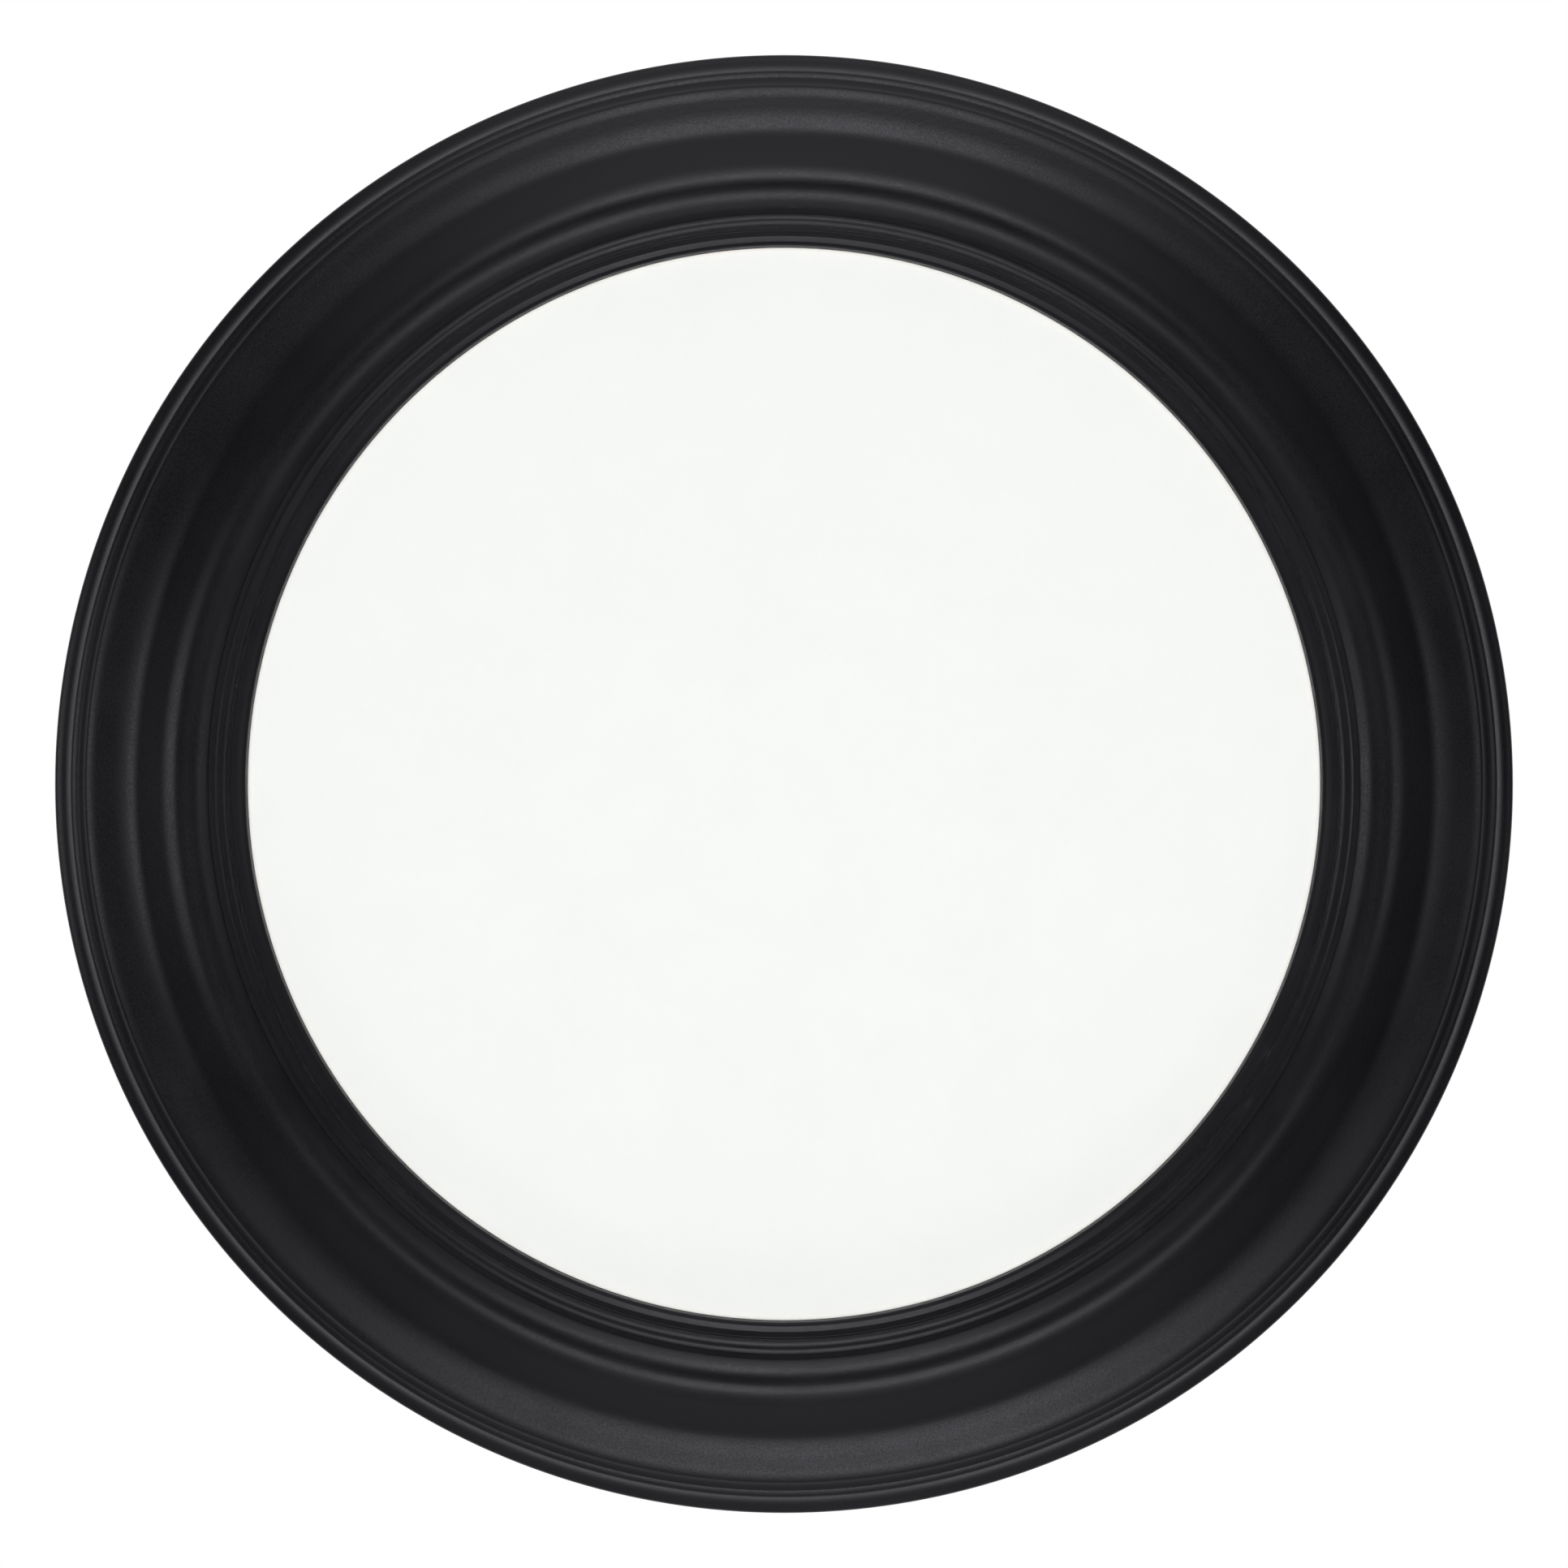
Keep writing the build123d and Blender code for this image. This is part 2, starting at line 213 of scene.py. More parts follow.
def wave_per_mm(spacing):
    """A wave texture's scale for bands this far apart in mm: it runs through 20 radians a unit."""
    return 2 * pi / 20 * per_mm(spacing)


def arc_board(tree, coords):
    """A point's reach from the ring's axis, its turn round it, its arc's turn and its place on the arc.

    The place is across, through and along the grain of the arc's own board.
    """
    centred = node(tree, "ShaderNodeMapping", {0: coords, "Location": (0, -RING_BACK_Y, -RING_CENTRE_Z)})
    plan = node(tree, "ShaderNodeMapping", {0: centred.outputs[0], "Scale": (1, 0, 1)})
    reach = node(tree, "ShaderNodeVectorMath", {0: plan.outputs[0]}, operation="LENGTH")
    axes = node(tree, "ShaderNodeSeparateXYZ", {0: centred.outputs[0]})
    turn = node(tree, "ShaderNodeMath", {0: axes.outputs["Z"], 1: axes.outputs["X"]}, operation="ARCTAN2")
    span = 2 * pi / ARC_COUNT
    shifted = node(tree, "ShaderNodeMath", {0: turn.outputs[0], 1: span / 2}, operation="ADD")
    wrapped = node(tree, "ShaderNodeMath", {0: shifted.outputs[0], 1: 2 * pi, 2: 0.0}, operation="WRAP")
    middle = node(tree, "ShaderNodeMath", {0: wrapped.outputs[0], 1: span}, operation="SNAP")
    board = node(
        tree, "ShaderNodeVectorRotate", {"Vector": centred.outputs[0], "Angle": middle.outputs[0]},
        rotation_type="Y_AXIS",
    )
    return reach.outputs["Value"], wrapped.outputs[0], middle.outputs[0], board.outputs[0]


# Satin black nitrocellulose lacquer, sprayed and rubbed down: a soft wide gleam that breaks up on a
# fine matting grain and on the spray's orange peel, both drawn coarser than life so that they show,
# pine grain that just shows through, and arrises rubbed thin. The spray lands dry on the lip's wall,
# which is duller by DRY_SPRAY.
DRY_SPRAY = 0.28
DRY_SPRAY_WIDTH = 0.3
lacquer, tree, shader, coords = finish("satin_black_lacquer", Specular_Tint=(0.93, 0.925, 1.0, 1.0))
reach, _, _, board = arc_board(tree, coords)
cloud = node(tree, "ShaderNodeTexNoise", {"Vector": coords, "Scale": per_mm(30), "Detail": 3.0})
peel = node(tree, "ShaderNodeTexNoise", {
    "Vector": coords, "Scale": per_mm(0.9), "Detail": 2.0, "Roughness": 0.6})
stretch = node(tree, "ShaderNodeMapping", {0: board, "Scale": (per_mm(1.3), per_mm(1.3), per_mm(45))})
pores = node(tree, "ShaderNodeTexNoise", {"Vector": stretch.outputs[0], "Scale": 1.0, "Detail": 3.0})
worn = node(tree, "ShaderNodeMapRange", {
    0: node(tree, "ShaderNodeNewGeometry").outputs["Pointiness"], 1: 0.56, 2: 0.68, 3: 0.0, 4: 1.0})
chips = node(tree, "ShaderNodeMapRange", {
    0: node(tree, "ShaderNodeTexNoise", {"Vector": coords, "Scale": per_mm(6), "Detail": 4.0}).outputs[0],
    1: 0.5, 2: 0.72, 3: 0.0, 4: 0.35})
rubbed = node(tree, "ShaderNodeMath", {0: worn.outputs[0], 1: chips.outputs[0]}, operation="MULTIPLY")
black = node(tree, "ShaderNodeMix", {
    0: cloud.outputs[0], 6: linear("#08080b"), 7: linear("#0e0e11")}, data_type="RGBA")
coat = node(tree, "ShaderNodeMix", {
    0: rubbed.outputs[0], 6: black.outputs[2], 7: linear("#4a4644")}, data_type="RGBA")
tree.links.new(coat.outputs[2], shader.inputs["Base Color"])
gleam = node(tree, "ShaderNodeMapRange", {0: cloud.outputs[0], 1: 0.3, 2: 0.7, 3: 0.2, 4: 0.26})
matting = node(tree, "ShaderNodeTexNoise", {"Vector": coords, "Scale": per_mm(0.5), "Detail": 2.0})
lustre = node(
    tree, "ShaderNodeMath", {0: matting.outputs[0], 1: 0.3, 2: gleam.outputs[0]},
    operation="MULTIPLY_ADD",
)
dry = node(tree, "ShaderNodeMapRange", {
    0: reach, 1: SIGHT_RADIUS * MM, 2: (SIGHT_RADIUS + DRY_SPRAY_WIDTH) * MM, 3: DRY_SPRAY, 4: 0.0})
dulled = node(tree, "ShaderNodeMath", {0: lustre.outputs[0], 1: dry.outputs[0]}, operation="ADD")
tree.links.new(dulled.outputs[0], shader.inputs["Roughness"])
grain_bump = node(tree, "ShaderNodeBump", {
    "Strength": 0.25, "Distance": 0.02 * MM, "Height": pores.outputs[0]})
peel_bump = node(tree, "ShaderNodeBump", {
    "Strength": 0.5, "Distance": 0.05 * MM, "Height": peel.outputs[0], "Normal": grain_bump.outputs[0]})
tree.links.new(peel_bump.outputs[0], shader.inputs["Normal"])

# Planed pine: pale early wood with darker late-wood lines about 6.5 mm apart along each board, fine
# pores between them, a dark hairline of glue at each joint, drawn wider than life so that it shows,
# and a ragged edge of black where the spray came round from the front. The glue line's outside and
# its dark core are measured in radians from the joint.
GLUE_LINE = 0.0022
GLUE_CORE = 0.0008
OVERSPRAY_START = 196.5
OVERSPRAY_FULL = 198.7
OVERSPRAY_RAG = 4.0
pine, tree, shader, coords = finish("planed_pine", Roughness=0.62, Specular_IOR_Level=0.35)
reach, turn, middle, board = arc_board(tree, coords)
own_cut = node(tree, "ShaderNodeCombineXYZ", {0: middle, 1: middle})
shift = node(tree, "ShaderNodeVectorMath", {0: own_cut.outputs[0], 1: board}, operation="ADD")
long_grain = node(tree, "ShaderNodeMapping", {0: shift.outputs[0], "Scale": (1.0, 1.0, 0.09)})
rings = node(
    tree, "ShaderNodeTexWave",
    {"Vector": long_grain.outputs[0], "Scale": wave_per_mm(6.5), "Distortion": 7.0, "Detail": 2.0,
     "Detail Scale": 1.6, "Detail Roughness": 0.55},
    wave_type="BANDS", bands_direction="X", wave_profile="SAW",
)
drawn_out = node(tree, "ShaderNodeMapping", {0: shift.outputs[0], "Scale": (1.0, 1.0, 0.04)})
fibres = node(tree, "ShaderNodeTexNoise", {
    "Vector": drawn_out.outputs[0], "Scale": per_mm(0.8), "Detail": 3.0})
late = node(tree, "ShaderNodeMapRange", {0: rings.outputs["Fac"], 1: 0.35, 2: 1.0, 3: 0.0, 4: 0.8})
wood = node(tree, "ShaderNodeMix", {
    0: late.outputs[0], 6: linear("#dcbd8f"), 7: linear("#b98a56")}, data_type="RGBA")
tone = node(tree, "ShaderNodeTexWhiteNoise", {"W": middle}, noise_dimensions="1D")
tone_range = node(tree, "ShaderNodeMapRange", {0: tone.outputs[0], 3: 0.0, 4: 0.45})
toned = node(tree, "ShaderNodeMix", {
    0: tone_range.outputs[0], 6: wood.outputs[2], 7: linear("#c99d69")}, data_type="RGBA")
fibre_share = node(tree, "ShaderNodeMapRange", {0: fibres.outputs[0], 1: 0.45, 2: 0.75, 3: 0.0, 4: 0.5})
fibred = node(tree, "ShaderNodeMix", {
    0: fibre_share.outputs[0], 6: toned.outputs[2], 7: linear("#a87c4c")}, data_type="RGBA")
half_arc = pi / ARC_COUNT
from_joint = node(tree, "ShaderNodeMath", {0: turn, 1: middle}, operation="SUBTRACT")
from_middle = node(tree, "ShaderNodeMath", {0: from_joint.outputs[0], 1: half_arc}, operation="SUBTRACT")
off_middle = node(tree, "ShaderNodeMath", {0: from_middle.outputs[0]}, operation="ABSOLUTE")
glue = node(tree, "ShaderNodeMapRange", {
    0: off_middle.outputs[0], 1: half_arc - GLUE_LINE, 2: half_arc - GLUE_CORE, 3: 0.0, 4: 0.75})
glued = node(tree, "ShaderNodeMix", {
    0: glue.outputs[0], 6: fibred.outputs[2], 7: linear("#5d3f24")}, data_type="RGBA")
ragged = node(tree, "ShaderNodeTexNoise", {
    "Vector": coords, "Scale": per_mm(9), "Detail": 5.0, "Roughness": 0.65})
ragged_reach = node(
    tree, "ShaderNodeMath", {0: ragged.outputs[0], 1: OVERSPRAY_RAG * MM, 2: reach},
    operation="MULTIPLY_ADD",
)
spray = node(tree, "ShaderNodeMapRange", {
    0: ragged_reach.outputs[0], 1: OVERSPRAY_START * MM, 2: OVERSPRAY_FULL * MM})
bare = node(tree, "ShaderNodeMix", {
    0: spray.outputs[0], 6: glued.outputs[2], 7: linear("#121213")}, data_type="RGBA")
tree.links.new(bare.outputs[2], shader.inputs["Base Color"])
grain_bump = node(tree, "ShaderNodeBump", {
    "Strength": 0.4, "Distance": 0.04 * MM, "Height": fibres.outputs[0]})
tree.links.new(grain_bump.outputs[0], shader.inputs["Normal"])

pen = SectionPen(SIGHT_RADIUS, RABBET_DEPTH)
pen.line(0, SIGHT_WALL)
for _, *size in MOULDING:
    if len(size) == 1:
        pen.line(0, size[0])
    else:
        pen.sweep(*size)
outer_radius = pen.tip.co.x / MM
outer_edge_height = pen.tip.co.z / MM
pen.to(outer_radius, BACK_BEVEL)
pen.to(outer_radius - BACK_BEVEL, 0)
pen.to(RABBET_RADIUS, 0)
pen.to(RABBET_RADIUS, RABBET_DEPTH)
pen.to(SIGHT_RADIUS, RABBET_DEPTH)
bmesh.ops.remove_doubles(pen.mesh, verts=pen.mesh.verts[:], dist=MERGE * MM)
pen.ease(EASED_CORNER)
ring = pen.turned(ARC_COUNT * STEPS_PER_ARC)
for face in ring.faces:
    middle_of_face = face.calc_center_median()
    out, up = middle_of_face.xy.length / MM, middle_of_face.z / MM
    bare_back = up < EASED_CORNER
    bare_rabbet = up < RABBET_DEPTH + EASED_CORNER / 2 and out < RABBET_RADIUS + EASED_CORNER
    face.material_index = 1 if bare_back or bare_rabbet else 0
# Up the section is towards the front, which faces -Y as the frame hangs.
facing_front = Matrix.Translation((0, RING_BACK_Y, RING_CENTRE_Z)) @ Matrix.Rotation(pi / 2, 4, "X")
arcs = [f"moulding_arc_{index + 1}" for index in range(ARC_COUNT)]
piece("lacquered_ring", ring, facing_front, [lacquer, pine], "frame", "black_lacquer", *arcs,
      crease=RING_CREASE)

# The loose splines. Eight slips of beech lie glued in slots across the joints, inside the ring, so
# their CAD solids stay. Sawn beech is pinkish, with short dark flecks along the grain.
beech, tree, shader, coords = finish("sawn_beech", Roughness=0.6, Specular_IOR_Level=0.35)
stretch = node(tree, "ShaderNodeMapping", {0: coords, "Scale": (per_mm(0.8), per_mm(0.8), per_mm(5))})
flecks = node(tree, "ShaderNodeTexNoise", {"Vector": stretch.outputs[0], "Scale": 1.0, "Detail": 2.0})
fleck_share = node(tree, "ShaderNodeMapRange", {0: flecks.outputs[0], 1: 0.55, 2: 0.7})
beech_colour = node(tree, "ShaderNodeMix", {
    0: fleck_share.outputs[0], 6: linear("#d6ae85"), 7: linear("#a8774f")}, data_type="RGBA")
tree.links.new(beech_colour.outputs[2], shader.inputs["Base Color"])


def dress(name, material):
    """Gives a CAD node that stays its material."""
    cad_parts[name].data.materials.clear()
    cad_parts[name].data.materials.append(material)


dress("arc_splines", beech)

# The glass. A 2 mm disc of clear float glass lies on the rabbet's shelf, its edges seamed on a belt
# so that they don't cut. Seen from in front it mirrors a little of the room and passes the rest.
PRINT_RADIUS = 152.4
GLASS_THICKNESS = 2.0
GLASS_SEAM = 0.3
AIR_FILM = 0.04
DISC_SEGMENTS = 192
glass = bpy.data.materials.new("clear_float_glass")
glass.use_nodes = True
tree = glass.node_tree
tree.nodes.remove(tree.nodes["Principled BSDF"])
entering = node(tree, "ShaderNodeMath", {
    0: 1.0, 1: node(tree, "ShaderNodeNewGeometry").outputs["Backfacing"]}, operation="SUBTRACT")
fresnel = node(tree, "ShaderNodeFresnel", {"IOR": 1.52})
mirrored = node(
    tree, "ShaderNodeMath", {0: fresnel.outputs[0], 1: entering.outputs[0]}, operation="MULTIPLY")
pane = node(tree, "ShaderNodeMixShader", {
    0: mirrored.outputs[0],
    1: node(tree, "ShaderNodeBsdfTransparent", {"Color": (0.996, 1.0, 0.998, 1.0)}).outputs[0],
    2: node(tree, "ShaderNodeBsdfAnisotropic", {"Roughness": 0.02}).outputs[0]})
tree.links.new(pane.outputs[0], tree.nodes["Material Output"].inputs["Surface"])


def disc(radius, bottom, top, bevel):
    """A flat disc between two heights, its rims bevelled."""
    mesh = bmesh.new()
    bmesh.ops.create_circle(mesh, cap_ends=True, segments=DISC_SEGMENTS, radius=radius * MM)
    bmesh.ops.translate(mesh, verts=mesh.verts[:], vec=(0, 0, bottom * MM))
    lid = bmesh.ops.extrude_face_region(mesh, geom=mesh.faces[:])["geom"]
    lid = [item for item in lid if isinstance(item, bmesh.types.BMVert)]
    bmesh.ops.translate(mesh, verts=lid, vec=(0, 0, (top - bottom) * MM))
    rims = [edge for edge in mesh.edges if abs(edge.verts[0].co.z - edge.verts[1].co.z) < MERGE * MM]
    bmesh.ops.bevel(
        mesh, geom=rims, offset=bevel * MM, offset_type="OFFSET", segments=1, profile=0.5,
        affect="EDGES", material=-1,
    )
    return closed(mesh)


# A film of air keeps the glass's back clear of the sheet.
pane_mesh = disc(PRINT_RADIUS, RABBET_DEPTH - GLASS_THICKNESS + AIR_FILM, RABBET_DEPTH, GLASS_SEAM)
piece("picture_glass", pane_mesh, facing_front, [glass], "frame", "clear_glass", "glass_disc")

# The sheet behind the glass. Blank white print paper fills the opening, as the photograph shows no
# picture. Smooth coated paper: a faint tooth, a trace of cloudiness and no gloss to speak of.
paper, tree, shader, coords = finish("coated_print_paper", Specular_IOR_Level=0.25)
clouds = node(tree, "ShaderNodeTexNoise", {"Vector": coords, "Scale": per_mm(18), "Detail": 4.0})
whites = node(tree, "ShaderNodeMix", {
    0: clouds.outputs[0], 6: linear("#fafaf9"), 7: linear("#f7f7f6")}, data_type="RGBA")
tree.links.new(whites.outputs[2], shader.inputs["Base Color"])
tooth = node(tree, "ShaderNodeTexNoise", {"Vector": coords, "Scale": per_mm(0.5), "Detail": 3.0})
tooth_rough = node(tree, "ShaderNodeMapRange", {0: tooth.outputs[0], 3: 0.6, 4: 0.72})
tree.links.new(tooth_rough.outputs[0], shader.inputs["Roughness"])
tooth_bump = node(tree, "ShaderNodeBump", {
    "Strength": 0.2, "Distance": 0.01 * MM, "Height": tooth.outputs[0]})
tree.links.new(tooth_bump.outputs[0], shader.inputs["Normal"])
dress("photo_sheet", paper)

# The filler. A disc of brown corrugated card packs the rabbet out behind the sheet; it is shut in
# between sheet and backing, so its CAD solid stays. Kraft liner over flutes 7 mm apart.
card, tree, shader, coords = finish("kraft_corrugated_card", Roughness=0.8, Specular_IOR_Level=0.2)
flutes = node(
    tree, "ShaderNodeTexWave", {"Vector": coords, "Scale": wave_per_mm(7), "Distortion": 0.3},
    wave_type="BANDS", bands_direction="X",
)
flute_share = node(tree, "ShaderNodeMapRange", {0: flutes.outputs["Fac"], 3: 0.3, 4: 0.55})
kraft = node(tree, "ShaderNodeMix", {
    0: flute_share.outputs[0], 6: linear("#c19a68"), 7: linear("#a8804f")}, data_type="RGBA")
tree.links.new(kraft.outputs[2], shader.inputs["Base Color"])
dress("filler_board", card)

# The backing board. A disc of 3 mm hardboard, smooth side out, is sawn round and dropped in last,
# flush with the ring's back. Pressed wood fibre: brown, mottled and felted with darker fibres.
BACKING_THICKNESS = 3.0
BACKING_EDGE = 0.4
hardboard, tree, shader, coords = finish("smooth_hardboard", Specular_IOR_Level=0.4)
mottle = node(tree, "ShaderNodeTexNoise", {
    "Vector": coords, "Scale": per_mm(22), "Detail": 5.0, "Roughness": 0.6})
felt = node(tree, "ShaderNodeTexNoise", {
    "Vector": coords, "Scale": per_mm(1.5), "Detail": 6.0, "Roughness": 0.8, "Distortion": 0.5})
mottle_share = node(tree, "ShaderNodeMapRange", {0: mottle.outputs[0], 1: 0.3, 2: 0.7})
browns = node(tree, "ShaderNodeMix", {
    0: mottle_share.outputs[0], 6: linear("#6f4a2b"), 7: linear("#845c38")}, data_type="RGBA")
felt_share = node(tree, "ShaderNodeMapRange", {0: felt.outputs[0], 1: 0.42, 2: 0.68, 3: 0.0, 4: 0.8})
fibred = node(tree, "ShaderNodeMix", {
    0: felt_share.outputs[0], 6: browns.outputs[2], 7: linear("#4c2f19")}, data_type="RGBA")
tree.links.new(fibred.outputs[2], shader.inputs["Base Color"])
board_rough = node(tree, "ShaderNodeMapRange", {0: felt.outputs[0], 3: 0.42, 4: 0.6})
tree.links.new(board_rough.outputs[0], shader.inputs["Roughness"])
board_bump = node(tree, "ShaderNodeBump", {
    "Strength": 0.35, "Distance": 0.03 * MM, "Height": felt.outputs[0]})
tree.links.new(board_bump.outputs[0], shader.inputs["Normal"])
backing_mesh = disc(PRINT_RADIUS, 0, BACKING_THICKNESS, BACKING_EDGE)
piece("hardboard_back", backing_mesh, facing_front, [hardboard], "frame", "hardboard", "backing_board")

# The turn buttons. Six stamped tabs of bright zinc-plated steel turn on their screws over the
# backing board's edge to hold it in; the tip is bent up for a finger.
BUTTON_CIRCLE = 161.0
BUTTON_COUNT = 6
BUTTON_UNDERSIDE = 0.05
BUTTON_THICKNESS = 0.9
BUTTON_WIDTH = 9.0
BUTTON_REACH = 20.0
BUTTON_TAB_LENGTH = 5.0
BUTTON_TAB_ANGLE = 25.0
BUTTON_HOLE = 3.06
BUTTON_EDGE = 0.14
BUTTON_SHARP = 15.0
HOLE_SEGMENTS = 24
RIM_STEPS = 2

# Bright zinc plate, passivated: a cool grey metal with a soft gleam, faint crystals in it, and a
# haze that makes it brighter and duller in blotches.
zinc, tree, shader, coords = finish("bright_zinc_plate", Metallic=1.0)
spangle = node(tree, "ShaderNodeTexVoronoi", {"Vector": coords, "Scale": per_mm(1.4), "Randomness": 1.0})
haze = node(tree, "ShaderNodeTexNoise", {"Vector": coords, "Scale": per_mm(5), "Detail": 4.0})
plate = node(tree, "ShaderNodeMix", {
    0: haze.outputs[0], 6: linear("#a9acaf"), 7: linear("#babab7")}, data_type="RGBA")
spangle_share = node(tree, "ShaderNodeMapRange", {0: spangle.outputs["Distance"], 3: 0.0, 4: 0.35})
plated = node(tree, "ShaderNodeMix", {
    0: spangle_share.outputs[0], 6: plate.outputs[2], 7: linear("#8e9296")}, data_type="RGBA")
tree.links.new(plated.outputs[2], shader.inputs["Base Color"])
zinc_rough = node(tree, "ShaderNodeMapRange", {0: haze.outputs[0], 1: 0.3, 2: 0.7, 3: 0.24, 4: 0.38})
tree.links.new(zinc_rough.outputs[0], shader.inputs["Roughness"])
zinc_bump = node(tree, "ShaderNodeBump", {
    "Strength": 0.15, "Distance": 0.01 * MM, "Height": haze.outputs[0]})
tree.links.new(zinc_bump.outputs[0], shader.inputs["Normal"])

# Hardware is modelled with the ring's back flat and upwards and the frame's top along +Y, and then
# stood up with the back towards the wall.
facing_wall = Matrix.Translation((0, RING_BACK_Y, RING_CENTRE_Z)) @ Matrix(
    ((-1, 0, 0, 0), (0, 0, 1, 0), (0, 1, 0, 0), (0, 0, 0, 1))
)


def rim_bevel(mesh, size, angle):
    """Rounds every outer edge that turns by more than an angle."""
    rims = [edge for edge in mesh.edges if edge.is_convex and edge.calc_face_angle(0) > radians(angle)]
    bmesh.ops.bevel(
        mesh, geom=rims, offset=size * MM, offset_type="OFFSET", segments=RIM_STEPS, profile=0.5,
        affect="EDGES", clamp_overlap=True, material=-1,
    )


def button_tab():
    """One tab, flat on the back with its hole at the origin and its tip along +X."""
    half = BUTTON_WIDTH / 2
    bend = (BUTTON_REACH - BUTTON_TAB_LENGTH) * MM
    mesh = bmesh.new()
    tip = mesh.verts.new((0, half * MM, 0))
    for centre in (0, BUTTON_REACH - half):
        spun = bmesh.ops.spin(
            mesh, geom=[tip], cent=(centre * MM, 0, 0), axis=(0, 0, 1), angle=pi, steps=HOLE_SEGMENTS
        )
        side = 1 if centre == 0 else -1
        tip = bmesh.ops.extrude_vert_indiv(mesh, verts=[spun["geom_last"][0]])["verts"][0]
        bmesh.ops.translate(mesh, verts=[tip], vec=(side * (BUTTON_REACH - half) * MM, 0, 0))
    bmesh.ops.remove_doubles(mesh, verts=mesh.verts[:], dist=MERGE * MM)
    bmesh.ops.create_circle(mesh, segments=HOLE_SEGMENTS, radius=BUTTON_HOLE / 2 * MM)
    bmesh.ops.triangle_fill(mesh, edges=mesh.edges[:], use_beauty=True)
    geom = mesh.verts[:] + mesh.edges[:] + mesh.faces[:]
    bmesh.ops.bisect_plane(mesh, geom=geom, plane_co=(bend, 0, 0), plane_no=(1, 0, 0))
    lift = Matrix.Identity(4)
    lift[2][0] = tan(radians(BUTTON_TAB_ANGLE))
    lift[2][3] = -bend * lift[2][0]
    bmesh.ops.transform(mesh, matrix=lift, verts=[vert for vert in mesh.verts if vert.co.x > bend])
    bmesh.ops.recalc_face_normals(mesh, faces=mesh.faces[:])
    if mesh.faces[0].normal.z > 0:
        bmesh.ops.reverse_faces(mesh, faces=mesh.faces[:])
    bmesh.ops.solidify(mesh, geom=mesh.faces[:], thickness=BUTTON_THICKNESS * MM)
    bmesh.ops.recalc_face_normals(mesh, faces=mesh.faces[:])
    rim_bevel(mesh, BUTTON_EDGE, BUTTON_SHARP)
    return closed(mesh)


button_places = []
for index in range(BUTTON_COUNT):
    turn = 2 * pi / BUTTON_COUNT * index
    place = facing_wall @ Matrix.Rotation(turn, 4, "Z") @ Matrix.Translation((BUTTON_CIRCLE * MM, 0, 0))
    button_places.append(place)
    seat = place @ Matrix.Translation((0, 0, BUTTON_UNDERSIDE * MM)) @ Matrix.Rotation(pi, 4, "Z")
    body = f"turn_button_{index + 1}"
    piece(f"button_tab_{index + 1}", button_tab(), seat, [zinc], body, "zinc_steel", body)

# The screws. Small pan-head wood screws, zinc plated, with a cross recess: six hold the turn buttons
# and two the hanger. Each was left at its own angle by the driver.
SCREW_RADIUS = 1.45
SCREW_LENGTH = 10.0
SCREW_TIP = 3.0
HEAD_RADIUS = 2.9
HEAD_HEIGHT = 2.0
HEAD_EDGE = 0.9
HEAD_SEGMENTS = 40
RECESS_SPAN = 3.2
RECESS_WIDTH = 0.8
RECESS_DEPTH = 1.2
RECESS_TAPER = 0.75
ON_CUT = 0.001
BUTTON_HEAD_SEAT = 1.0
BUTTON_SCREW_TURNS = (17, 62, 38, 5, 74, 51)


def screw():
    """One screw, upright, with its head's underside at the origin."""
    pen = SectionPen(0, HEAD_HEIGHT)
    pen.sweep(HEAD_RADIUS, 0, -2 * degrees(atan2(HEAD_HEIGHT - HEAD_EDGE, HEAD_RADIUS)))
    pen.to(HEAD_RADIUS, 0)
    pen.to(SCREW_RADIUS, 0)
    pen.to(SCREW_RADIUS, SCREW_TIP - SCREW_LENGTH)
    pen.to(0, -SCREW_LENGTH)
    mesh = pen.turned(HEAD_SEGMENTS)
    half_width, half_span = RECESS_WIDTH / 2 * MM, RECESS_SPAN / 2 * MM
    for cut in (-half_span, -half_width, half_width, half_span):
        for axis in (Vector((1, 0, 0)), Vector((0, 1, 0))):
            crown = [face for face in mesh.faces if face.calc_center_median().z > HEAD_EDGE * MM]
            geom = {item for face in crown for item in (face, *face.edges, *face.verts)}
            bmesh.ops.bisect_plane(
                mesh, geom=list(geom), dist=ON_CUT * MM, plane_co=axis * cut, plane_no=axis
            )
    recess = []
    for face in mesh.faces:
        middle = face.calc_center_median()
        near, far = sorted((abs(middle.x), abs(middle.y)))
        if middle.z > HEAD_EDGE * MM and near < half_width and far < half_span:
            recess.append(face)
    sunk = bmesh.ops.extrude_face_region(mesh, geom=recess)["geom"]
    sunk = [item for item in sunk if isinstance(item, bmesh.types.BMVert)]
    bmesh.ops.delete(mesh, geom=recess, context="FACES")
    bmesh.ops.scale(mesh, verts=sunk, vec=(RECESS_TAPER, RECESS_TAPER, 0))
    bmesh.ops.translate(mesh, verts=sunk, vec=(0, 0, (HEAD_HEIGHT - RECESS_DEPTH) * MM))
    return closed(mesh)


def gathered(places, single):
    """Copies of one mesh at several places, as one mesh."""
    mesh = bmesh.new()
    one = bpy.data.meshes.new("copy")
    single.to_mesh(one)
    single.free()
    for place in places:
        before = set(mesh.verts)
        mesh.from_mesh(one)
        bmesh.ops.transform(mesh, matrix=place, verts=[vert for vert in mesh.verts if vert not in before])
    bpy.data.meshes.remove(one)
    return mesh


button_seats = [
    place @ Matrix.Translation((0, 0, BUTTON_HEAD_SEAT * MM)) @ Matrix.Rotation(radians(turn), 4, "Z")
    for place, turn in zip(button_places, BUTTON_SCREW_TURNS)
]
piece("button_screws", gathered(button_seats, screw()), Matrix.Identity(4), [zinc], "frame", "zinc_steel",
      "turn_button_screws")

